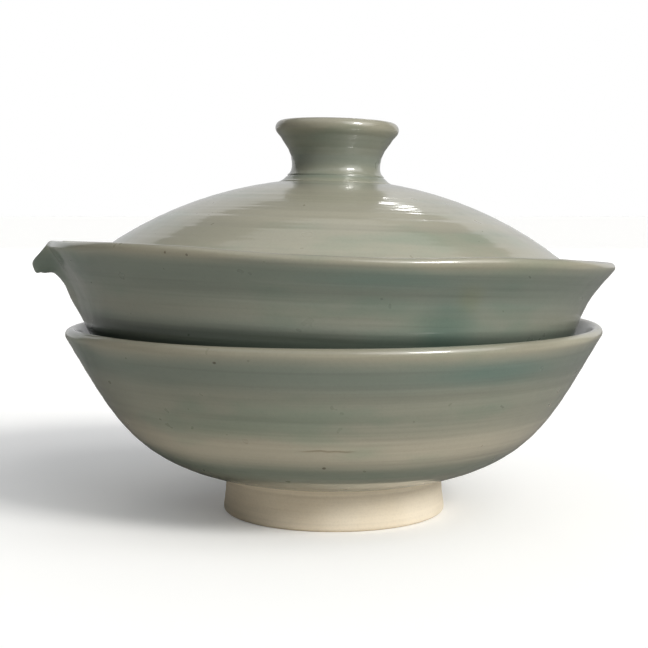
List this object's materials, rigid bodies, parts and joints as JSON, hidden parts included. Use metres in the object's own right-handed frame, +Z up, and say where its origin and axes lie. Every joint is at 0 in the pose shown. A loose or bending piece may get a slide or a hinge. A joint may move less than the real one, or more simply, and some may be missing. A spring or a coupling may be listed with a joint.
{
  "type": "gaiwan with a pouring spout",
  "caption": "Lidded tea bowl with a small pulled spout and a knobbed dome lid, nested in a matching footed drinking bowl.",
  "frame": {"origin": "centre of the drinking bowl's foot ring, on the table", "axes": "+Z up, square to the table; X across the spout, which points along -X"},
  "size_m": [0.1256, 0.1201, 0.0848],
  "materials": {
    "celadon_glaze": "glossy celadon glaze, greener where it pools",
    "pale_glaze": "glossy pale celadon glaze",
    "bare_clay": "matt unglazed buff clay with turning lines"
  },
  "bodies": {
    "drinking_bowl": {"cup": "celadon_glaze", "cup_foot": "bare_clay"},
    "pouring_bowl": {"bowl": "celadon_glaze", "bowl_foot": "bare_clay"},
    "cover": {"lid": "pale_glaze", "knob": "pale_glaze"}
  },
  "joints": [
    {"name": "bowl_lift", "type": "slide", "parent": "drinking_bowl", "child": "pouring_bowl", "axis": [0, 0, 1], "range_m": [0, 0.1]},
    {"name": "lid_lift", "type": "slide", "parent": "pouring_bowl", "child": "cover", "axis": [0.0386, 0.027, 0.9989], "range_m": [0, 0.08]}
  ]
}
